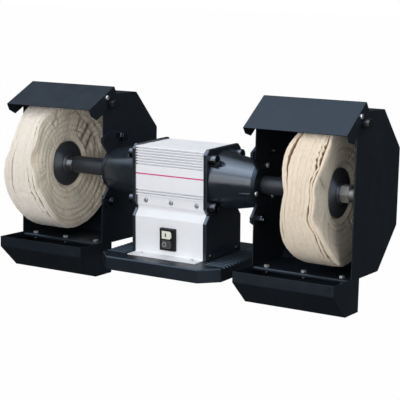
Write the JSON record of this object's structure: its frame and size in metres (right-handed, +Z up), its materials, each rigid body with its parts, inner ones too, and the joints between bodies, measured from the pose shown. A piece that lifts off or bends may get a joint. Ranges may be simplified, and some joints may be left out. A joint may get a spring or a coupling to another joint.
{
  "type": "polishing machine",
  "caption": "Bench polishing machine: a finned motor on a pedestal turns cloth buffing wheels inside open-fronted sheet hoods with tilting visors and dust trays.",
  "frame": {"origin": "middle of the base's underside, where the machine bolts to its stand or bench", "axes": "+X along the spindle, to the right seen from the front; +Y to the back; +Z up"},
  "size_m": [0.874, 0.3202, 0.4236],
  "materials": {
    "cast_paint": "glossy anthracite paint on castings",
    "base_paint": "satin anthracite paint on the base casting",
    "white_coat": "fine powder coat, light grey-white",
    "hood_coat": "satin anthracite powder coat",
    "sleeve_paint": "satin dark paint",
    "zinc_steel": "bright zinc-plated fasteners",
    "dark_screws": "black-oxide fasteners and collars",
    "ground_steel": "ground bare steel",
    "flange_paint": "dark enamel on turned flanges",
    "lamination": "stacked sheet steel",
    "copper": "varnished copper wire",
    "switch_black": "moulded, fine texture",
    "button_black": "polished plastic",
    "pale_plastic": "polished plastic",
    "knob_black": "moulded, fluted",
    "cotton_cloth": "unbleached cotton, stitched plies"
  },
  "bodies": {
    "machine": {"base_plate": "base_paint", "pedestal_front_cover": "white_coat", "pedestal_rear_cover": "white_coat", "cover_screws": "zinc_steel", "leg_screws": "dark_screws", "motor_housing": "white_coat", "stator_core": "lamination", "stator_windings": "copper", "preload_washer": "zinc_steel", "bearing_outer_rings": "ground_steel", "switch_body": "switch_black", "terminal_block": "pale_plastic", "cable_gland": "switch_black", "end_shield_screws": "dark_screws", "left_end_shield": "cast_paint", "left_hood_bracket": "hood_coat", "left_bracket_screws": "zinc_steel", "right_end_shield": "cast_paint", "right_hood_bracket": "hood_coat", "right_bracket_screws": "zinc_steel"},
    "spindle": {"spindle_shaft": "ground_steel", "rotor": "lamination", "bearing_inner_rings": "ground_steel", "left_spindle_sleeve": "sleeve_paint", "left_spindle_collar": "dark_screws", "left_inner_flange": "flange_paint", "left_outer_flange": "flange_paint", "left_spindle_nut": "ground_steel", "left_buffing_wheel": "cotton_cloth", "right_spindle_sleeve": "sleeve_paint", "right_spindle_collar": "dark_screws", "right_inner_flange": "flange_paint", "right_outer_flange": "flange_paint", "right_spindle_nut": "ground_steel", "right_buffing_wheel": "cotton_cloth"},
    "start_button": {"start_button": "pale_plastic"},
    "stop_button": {"stop_button": "button_black"},
    "left_hood": {"left_hood_inner_plate": "hood_coat", "left_hood_outer_plate": "hood_coat", "left_hood_wrapper": "hood_coat", "left_hood_bolts": "dark_screws", "left_visor_fasteners": "zinc_steel", "left_dust_tray": "hood_coat", "left_tray_screws": "zinc_steel"},
    "left_visor": {"left_visor": "hood_coat"},
    "left_inner_knob": {"left_inner_knob": "knob_black"},
    "left_outer_knob": {"left_outer_knob": "knob_black"},
    "right_hood": {"right_hood_inner_plate": "hood_coat", "right_hood_outer_plate": "hood_coat", "right_hood_wrapper": "hood_coat", "right_hood_bolts": "dark_screws", "right_visor_fasteners": "zinc_steel", "right_dust_tray": "hood_coat", "right_tray_screws": "zinc_steel"},
    "right_visor": {"right_visor": "hood_coat"},
    "right_inner_knob": {"right_inner_knob": "knob_black"},
    "right_outer_knob": {"right_outer_knob": "knob_black"}
  },
  "joints": [
    {"name": "spindle_spin", "type": "hinge", "parent": "machine", "child": "spindle", "pos_m": [0, 0, 0.193], "axis": [1, 0, 0], "continuous": true},
    {"name": "start_button_press", "type": "slide", "parent": "machine", "child": "start_button", "axis": [0, 1, 0], "range_m": [0, 0.003], "stiffness_N_per_m": 600, "springref_m": -0.001},
    {"name": "stop_button_press", "type": "slide", "parent": "machine", "child": "stop_button", "axis": [0, 1, 0], "range_m": [0, 0.003], "stiffness_N_per_m": 600, "springref_m": -0.001},
    {"name": "left_hood_tilt", "type": "hinge", "parent": "machine", "child": "left_hood", "pos_m": [0, 0, 0.193], "axis": [1, 0, 0], "range_deg": [-15, 15]},
    {"name": "left_visor_tilt", "type": "hinge", "parent": "left_hood", "child": "left_visor", "pos_m": [0, -0.028, 0.35398], "axis": [1, 0, 0], "range_deg": [-8.3, 11.2]},
    {"name": "left_inner_knob_turn", "type": "hinge", "parent": "left_hood", "child": "left_inner_knob", "pos_m": [0, -0.01513, 0.33852], "axis": [1, 0, 0], "range_deg": [0, 270]},
    {"name": "left_outer_knob_turn", "type": "hinge", "parent": "left_hood", "child": "left_outer_knob", "pos_m": [0, -0.01513, 0.33852], "axis": [-1, 0, 0], "range_deg": [0, 270]},
    {"name": "right_hood_tilt", "type": "hinge", "parent": "machine", "child": "right_hood", "pos_m": [0, 0, 0.193], "axis": [1, 0, 0], "range_deg": [-15, 15]},
    {"name": "right_visor_tilt", "type": "hinge", "parent": "right_hood", "child": "right_visor", "pos_m": [0, -0.028, 0.35398], "axis": [1, 0, 0], "range_deg": [-17.4, 2.1]},
    {"name": "right_inner_knob_turn", "type": "hinge", "parent": "right_hood", "child": "right_inner_knob", "pos_m": [0, -0.01513, 0.33852], "axis": [-1, 0, 0], "range_deg": [0, 270]},
    {"name": "right_outer_knob_turn", "type": "hinge", "parent": "right_hood", "child": "right_outer_knob", "pos_m": [0, -0.01513, 0.33852], "axis": [1, 0, 0], "range_deg": [0, 270]}
  ]
}
